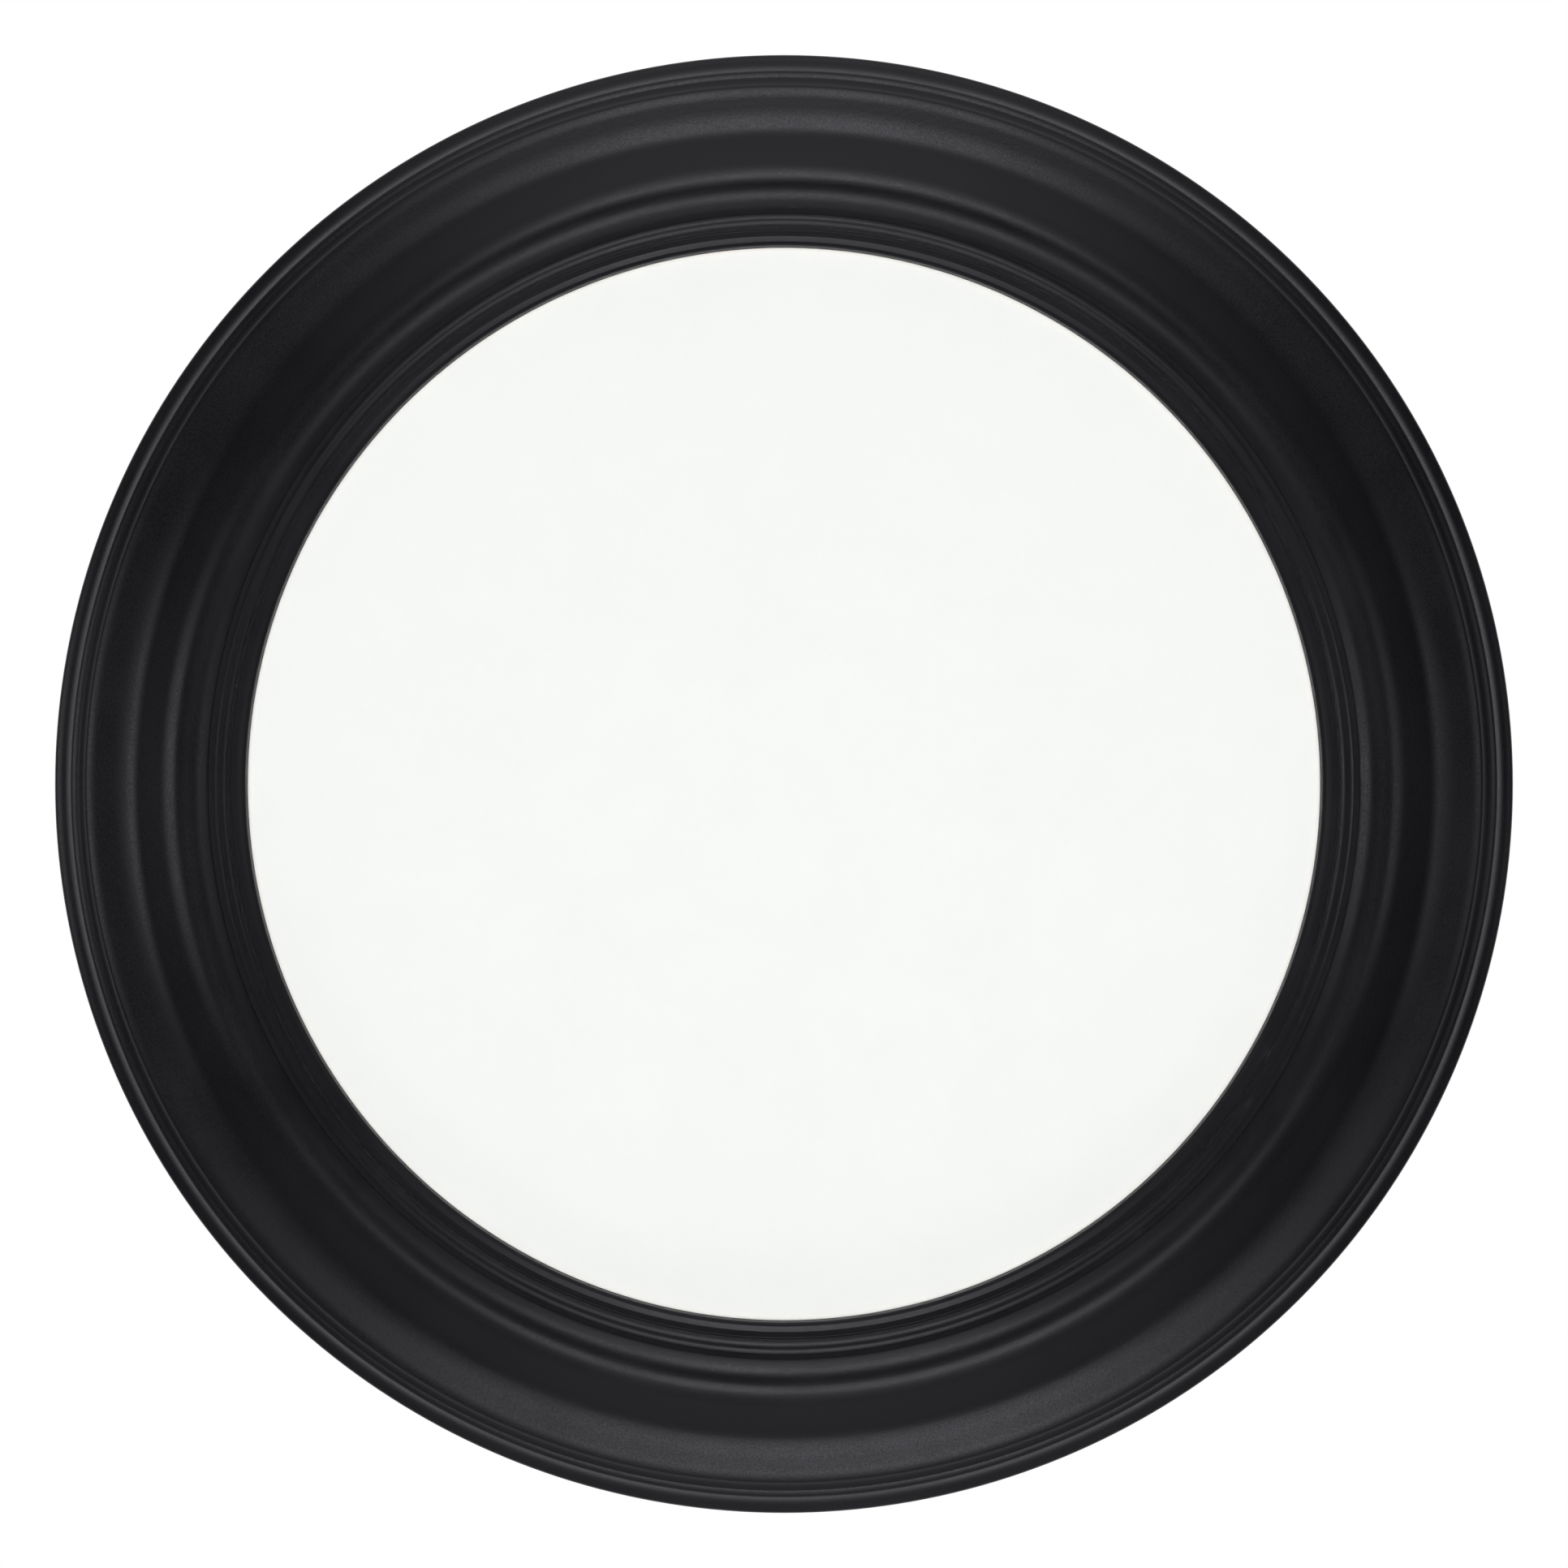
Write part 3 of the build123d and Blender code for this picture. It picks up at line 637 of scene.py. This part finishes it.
# The strap. A strip of 0.8 mm zinc-plated steel is folded round the D-ring's bar, and its two leaves
# lie one on the other under two screws at the top of the back.
LOOP_FROM_CENTRE = 185.1
LOOP_BORE = 1.28
STRAP_SHEET = 0.8
STRAP_WIDTH = 10.0
STRAP_LENGTH = 21.0
STRAP_CORNER = 3.0
STRAP_EDGE = 0.12
STRAP_SHARP = 40.0
LEAF_GAP = 0.08
LOOP_STEPS = 28
CORNER_STEPS = 8
loop_radius = LOOP_BORE + STRAP_SHEET
leaves = 2 * STRAP_SHEET


def strap():
    """The strap from its side, drawn out to its width: a loop round the bar and two leaves."""
    mesh = bmesh.new()
    tip = mesh.verts.new((0, 0, -loop_radius * MM))
    wrap = 2 * pi - acos((loop_radius - leaves) / loop_radius)
    spun = bmesh.ops.spin(mesh, geom=[tip], cent=(0, 0, 0), axis=(1, 0, 0), angle=wrap, steps=LOOP_STEPS)
    tip = spun["geom_last"][0]
    gap_bottom, gap_top = STRAP_SHEET - LEAF_GAP / 2, STRAP_SHEET + LEAF_GAP / 2
    outline = [
        (STRAP_LENGTH, leaves), (STRAP_LENGTH, gap_top), (loop_radius, gap_top),
        (loop_radius, gap_bottom), (STRAP_LENGTH, gap_bottom), (STRAP_LENGTH, 0), (0, 0),
    ]
    for down, up in outline:
        tip = bmesh.ops.extrude_vert_indiv(mesh, verts=[tip])["verts"][0]
        bmesh.ops.translate(mesh, verts=[tip], vec=Vector((0, -down, up - loop_radius)) * MM - tip.co)
    bmesh.ops.remove_doubles(mesh, verts=mesh.verts[:], dist=MERGE * MM)
    bore = bmesh.ops.create_circle(mesh, segments=LOOP_STEPS, radius=LOOP_BORE * MM)["verts"]
    bmesh.ops.rotate(mesh, verts=bore, cent=(0, 0, 0), matrix=Matrix.Rotation(pi / 2, 3, "Y"))
    bmesh.ops.triangle_fill(mesh, edges=mesh.edges[:], use_beauty=True)
    side = bmesh.ops.extrude_face_region(mesh, geom=mesh.faces[:])["geom"]
    side = [item for item in side if isinstance(item, bmesh.types.BMVert)]
    bmesh.ops.translate(mesh, verts=side, vec=(STRAP_WIDTH * MM, 0, 0))
    bmesh.ops.translate(mesh, verts=mesh.verts[:], vec=(-STRAP_WIDTH / 2 * MM, 0, 0))
    closed(mesh)
    corners = [
        edge for edge in mesh.edges
        if all(vert.co.y < -(STRAP_LENGTH - MERGE) * MM for vert in edge.verts)
        and abs(edge.verts[0].co.z - edge.verts[1].co.z) > STRAP_SHEET / 2 * MM
    ]
    bmesh.ops.bevel(
        mesh, geom=corners, offset=STRAP_CORNER * MM, offset_type="OFFSET", segments=CORNER_STEPS,
        profile=0.5, affect="EDGES", material=-1,
    )
    rim_bevel(mesh, STRAP_EDGE, STRAP_SHARP)
    return closed(mesh)


loop_place = facing_wall @ Matrix.Translation((0, LOOP_FROM_CENTRE * MM, loop_radius * MM))
piece("folded_strap", strap(), loop_place, [zinc], "frame", "zinc_steel", "hanger_strap")

# The D-ring. Zinc-plated steel wire, 2.4 mm thick, is bent to a D and butted inside the strap. It
# swings on its bar, and as the frame hangs it lies up along the back with the hook in its bow.
RING_WIRE = 2.4
RING_INNER_WIDTH = 14.0
RING_CORNER = 2.4
RING_SIDE = 0.6
BOW_STEPS = 32
WIRE_SEGMENTS = 20
ring_half = (RING_INNER_WIDTH + RING_WIRE) / 2
bar_end = ring_half - RING_CORNER
side_end = RING_CORNER + RING_SIDE


def wire_ring():
    """The ring lying flat, its bar along X through the origin and its bow along +Y."""
    mesh = bmesh.new()
    rim = bmesh.ops.create_circle(mesh, segments=WIRE_SEGMENTS, radius=RING_WIRE / 2 * MM)["verts"]
    bmesh.ops.rotate(mesh, verts=rim, cent=(0, 0, 0), matrix=Matrix.Rotation(pi / 2, 3, "Y"))
    bmesh.ops.translate(mesh, verts=rim, vec=(-bar_end * MM, 0, 0))
    loop = mesh.edges[:]
    # A straight run has how far it goes, and a bend its centre, its angle and its steps.
    runs = [
        ((2 * bar_end, 0), None, 0, 0),
        (None, (bar_end, RING_CORNER), 90, CORNER_STEPS),
        ((0, RING_SIDE), None, 0, 0),
        (None, (0, side_end), 180, BOW_STEPS),
        ((0, -RING_SIDE), None, 0, 0),
        (None, (-bar_end, RING_CORNER), 90, CORNER_STEPS),
    ]
    for straight, centre, angle, steps in runs:
        if straight:
            made = bmesh.ops.extrude_edge_only(mesh, edges=loop)["geom"]
            moved = [item for item in made if isinstance(item, bmesh.types.BMVert)]
            bmesh.ops.translate(mesh, verts=moved, vec=(straight[0] * MM, straight[1] * MM, 0))
            ends = set(moved)
        else:
            spun = bmesh.ops.spin(
                mesh, geom=loop, cent=(centre[0] * MM, centre[1] * MM, 0), axis=(0, 0, 1),
                angle=radians(angle), steps=steps,
            )
            ends = {item for item in spun["geom_last"] if isinstance(item, bmesh.types.BMVert)}
        loop = [edge for edge in mesh.edges if edge.verts[0] in ends and edge.verts[1] in ends]
    return closed(mesh)


piece("d_ring_wire", wire_ring(), loop_place, [zinc], "hanger_ring", "zinc_steel", "hanger_ring")

# The hanger's screws. Two of the same zinc-plated pan-head screws go through both leaves of the strap
# into the wood, one above the other.
STRAP_SCREWS = (8.0, 16.5)
STRAP_SCREW_TURNS = (29, 68)
strap_seats = [
    facing_wall @ Matrix.Translation((0, (LOOP_FROM_CENTRE - distance) * MM, leaves * MM))
    @ Matrix.Rotation(radians(turn), 4, "Z")
    for distance, turn in zip(STRAP_SCREWS, STRAP_SCREW_TURNS)
]
piece("strap_screws", gathered(strap_seats, screw()), Matrix.Identity(4), [zinc], "frame", "zinc_steel",
      "hanger_screws")

# The bumpers. Two moulded domes of soft black rubber with a flat face are stuck to the foot of the
# back, where they hold the frame off the wall and keep it from swinging. Rubber is dull and nearly
# black, with a greyish bloom in patches.
BUMPER_RADIUS = 5.0
BUMPER_HEIGHT = 5.0
BUMPER_SIDE = 2.4
BUMPER_FACE = 2.8
BUMPER_EDGE = 0.15
BUMPER_SEGMENTS = 48
BUMPER_SETBACK = 18.0
BUMPER_TURNS = (225, 315)
rubber, tree, shader, coords = finish("moulded_rubber", Specular_IOR_Level=0.3)
bloom = node(tree, "ShaderNodeTexNoise", {"Vector": coords, "Scale": per_mm(1.6), "Detail": 4.0})
rubber_black = node(tree, "ShaderNodeMix", {
    0: bloom.outputs[0], 6: linear("#191919"), 7: linear("#2b2a29")}, data_type="RGBA")
tree.links.new(rubber_black.outputs[2], shader.inputs["Base Color"])
rubber_rough = node(tree, "ShaderNodeMapRange", {0: bloom.outputs[0], 3: 0.6, 4: 0.82})
tree.links.new(rubber_rough.outputs[0], shader.inputs["Roughness"])
pen = SectionPen(0, 0)
pen.to(BUMPER_RADIUS, 0)
pen.to(BUMPER_RADIUS, BUMPER_SIDE)
dome_turn = 2 * degrees(atan2(BUMPER_RADIUS - BUMPER_FACE, BUMPER_HEIGHT - BUMPER_SIDE))
pen.sweep(BUMPER_FACE - BUMPER_RADIUS, 90, 90 + dome_turn)
pen.to(0, BUMPER_HEIGHT)
pen.ease(BUMPER_EDGE)
feet = [
    facing_wall @ Matrix.Rotation(radians(turn), 4, "Z")
    @ Matrix.Translation(((outer_radius - BUMPER_SETBACK) * MM, 0, 0))
    for turn in BUMPER_TURNS
]
bumper = pen.turned(BUMPER_SEGMENTS)
piece("rubber_bumpers", gathered(feet, bumper), Matrix.Identity(4), [rubber], "frame", "black_rubber",
      "wall_bumpers")

# The studio. The frame hangs 1.5 m over a pale floor, with a white backdrop behind and a dim room in
# front, which keeps the black lacquer black. Four soft lamps round it make the lacquer's gleams, and
# one in front, one behind and one over the floor light what is matt.
FLOOR_Z = -1.9
FLOOR_RADIUS = 1.5
FLOOR_SEGMENTS = 96
floor_mesh = bmesh.new()
bmesh.ops.create_circle(floor_mesh, cap_ends=True, segments=FLOOR_SEGMENTS, radius=FLOOR_RADIUS)
bmesh.ops.translate(floor_mesh, verts=floor_mesh.verts[:], vec=(0, 0, FLOOR_Z))
floor_data = bpy.data.meshes.new("studio_floor")
floor_mesh.to_mesh(floor_data)
floor_mesh.free()
floor = bpy.data.objects.new("studio_floor", floor_data)
bpy.context.scene.collection.objects.link(floor)
pale, *_ = finish("pale_floor_paint", Roughness=0.7, Base_Color=linear("#ececea"))
floor_data.materials.append(pale)
floor.visible_glossy = False

ring_centre = Vector((0, RING_BACK_Y, RING_CENTRE_Z))


def lamp(name, place, size, radiance, mirrored=True, lights=True, facing=(0, 0, 0)):
    """A soft lamp of one brightness whatever its size, mirrored in gloss, lighting what is matt, or both.

    Its place and the place that it faces are in metres from the ring's centre.
    """
    data = bpy.data.lights.new(name, "AREA")
    data.shape = "RECTANGLE"
    data.size, data.size_y = size
    data.energy = radiance * pi * size[0] * size[1]
    made = bpy.data.objects.new(name, data)
    made.location = ring_centre + Vector(place)
    made.rotation_euler = (Vector(facing) - Vector(place)).to_track_quat("-Z", "Y").to_euler()
    made.visible_camera = False
    made.visible_glossy = mirrored
    made.visible_diffuse = lights
    bpy.context.scene.collection.objects.link(made)


lamp("upper_lamp", (0, -1.47, 1.356), (1.15, 0.82), 3.1, lights=False)
lamp("lower_lamp", (0.08, -1.677, -1.089), (1.25, 0.95), 2.7, lights=False)
lamp("left_lamp", (-1.696, -1.06, 0), (0.7, 0.8), 2.35, lights=False)
lamp("right_lamp", (1.59, -1.212, 0), (0.6, 0.8), 1.4, lights=False)
lamp("front_lamp", (0, -2.1, 0), (0.5, 0.5), 54.0, mirrored=False)
lamp("rear_lamp", (0.9, 1.7, 0.9), (1.6, 1.2), 2.8, mirrored=False)
lamp("floor_lamp", (0, 0, -0.75), (2.0, 2.0), 0.45, mirrored=False, facing=(0, 0, -1.5))

world = bpy.data.worlds.new("studio")
bpy.context.scene.world = world
world.use_nodes = True
tree = world.node_tree
tree.nodes.clear()
heading = node(tree, "ShaderNodeSeparateXYZ", {0: node(tree, "ShaderNodeTexCoord").outputs["Generated"]})


def graded(direction, *levels):
    """Grey levels along one direction, each at its share of the way from -1 to 1."""
    share = node(tree, "ShaderNodeMath", {0: direction, 1: 0.5, 2: 0.5}, operation="MULTIPLY_ADD")
    ramp = node(tree, "ShaderNodeValToRGB", {0: share.outputs[0]})
    stops = ramp.color_ramp.elements
    for stop, (along, level) in zip(stops, (levels[0], levels[-1])):
        stop.position, stop.color = (along + 1) / 2, (level, level, level, 1)
    for along, level in levels[1:-1]:
        stops.new((along + 1) / 2).color = (level, level, level, 1)
    return ramp.outputs[0]


room = graded(
    heading.outputs["Y"],
    (-1.0, 0.045), (-0.6, 0.035), (0.12, 0.03), (0.45, 0.92), (0.7, 1.1), (1.0, 0.9))
above_and_below = graded(
    heading.outputs["Z"], (-0.98, 0.36), (-0.7, 0.16), (-0.4, 0.0), (0.4, 0.0), (0.7, 0.13), (0.95, 0.48))
light_path = node(tree, "ShaderNodeLightPath").outputs
seen = node(tree, "ShaderNodeMath", {
    0: light_path["Is Camera Ray"], 1: light_path["Is Transmission Ray"]}, operation="MAXIMUM")
around = node(
    tree, "ShaderNodeMix", {0: 1.0, 6: room, 7: above_and_below}, data_type="RGBA", blend_type="LIGHTEN")
dimmed = node(tree, "ShaderNodeMapRange", {0: light_path["Is Diffuse Ray"], 3: 1.0, 4: 0.5})
backdrop = node(tree, "ShaderNodeMixShader", {
    0: seen.outputs[0],
    1: node(tree, "ShaderNodeBackground", {0: around.outputs[2], 1: dimmed.outputs[0]}).outputs[0],
    2: node(tree, "ShaderNodeBackground", {0: (1, 1, 1, 1)}).outputs[0]})
node(tree, "ShaderNodeOutputWorld", {0: backdrop.outputs[0]})

# The camera looks straight at the ring from 2 m, as the photograph does: the ring's outer edge is
# 898.2 pixels from the middle of a picture 1932 pixels wide.
CAMERA_DISTANCE = 2.0
EDGE_PIXELS = 898.2
PICTURE_PIXELS = 1932
SENSOR = 36.0
camera = bpy.data.cameras.new("camera")
camera.sensor_width = SENSOR
camera.lens = EDGE_PIXELS / PICTURE_PIXELS * SENSOR * CAMERA_DISTANCE / (outer_radius * MM)
viewer = bpy.data.objects.new("camera", camera)
viewer.location = ring_centre - Vector((0, outer_edge_height * MM + CAMERA_DISTANCE, 0))
viewer.rotation_euler = (pi / 2, 0, 0)
bpy.context.scene.collection.objects.link(viewer)
bpy.context.scene.camera = viewer
bpy.context.scene.view_settings.view_transform = "Standard"
